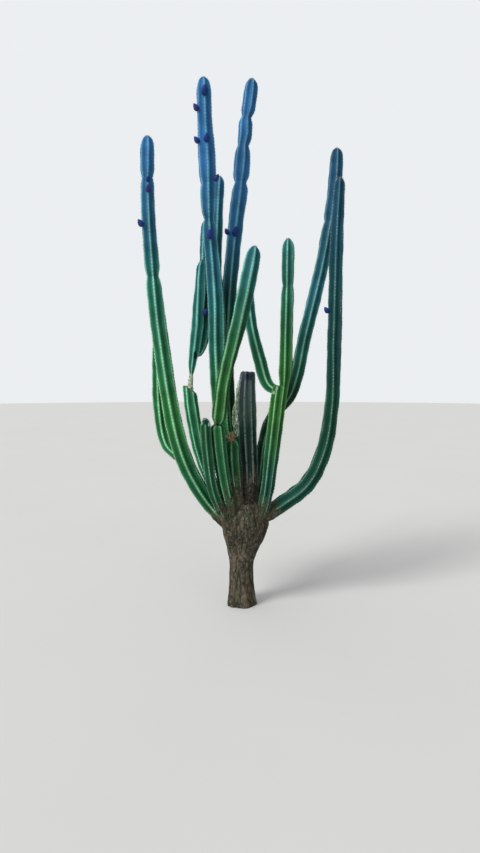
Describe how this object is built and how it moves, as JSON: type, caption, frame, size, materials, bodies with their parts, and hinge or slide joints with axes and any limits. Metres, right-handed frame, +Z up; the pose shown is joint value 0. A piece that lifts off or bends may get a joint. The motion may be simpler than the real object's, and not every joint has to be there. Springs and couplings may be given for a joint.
{
  "type": "columnar cereus cactus",
  "caption": "Tall clump-forming columnar cactus with ribbed blue-green arms on a short woody trunk, rooted in the ground.",
  "frame": {"origin": "middle of the flat cut under the trunk, at ground level", "axes": "+Z up, -Y towards the side that the picture shows, +X to that viewer's right"},
  "size_m": [1.3437, 0.6336, 3.632],
  "materials": {
    "bark": "rough corky bark",
    "skin": "waxy blue-green cactus skin",
    "dead_skin": "dry dull skin of a dead column",
    "spines": "dry stiff spines",
    "areoles": "short pale felt",
    "buds": "waxy dark purple scales",
    "scar": "healed corky tissue"
  },
  "bodies": {
    "root": {"trunk": "bark", "arm_left_tall": "skin", "arm_left_rear": "skin", "stump_left": "skin", "regrowth_left_outer": "skin", "regrowth_left_inner": "skin", "arm_centre_tall": "skin", "arm_centre_slim": "skin", "arm_back_tall": "skin", "stump_front": "skin", "arm_front_leaning": "skin", "arm_front_short": "skin", "stump_middle": "skin", "column_dead": "dead_skin", "arm_right_stout": "skin", "arm_right_inner": "skin", "arm_right_upright": "skin", "arm_right_leaning": "skin", "arm_right_outer_elbow": "skin", "arm_right_outer_column": "skin"}
  },
  "joints": []
}
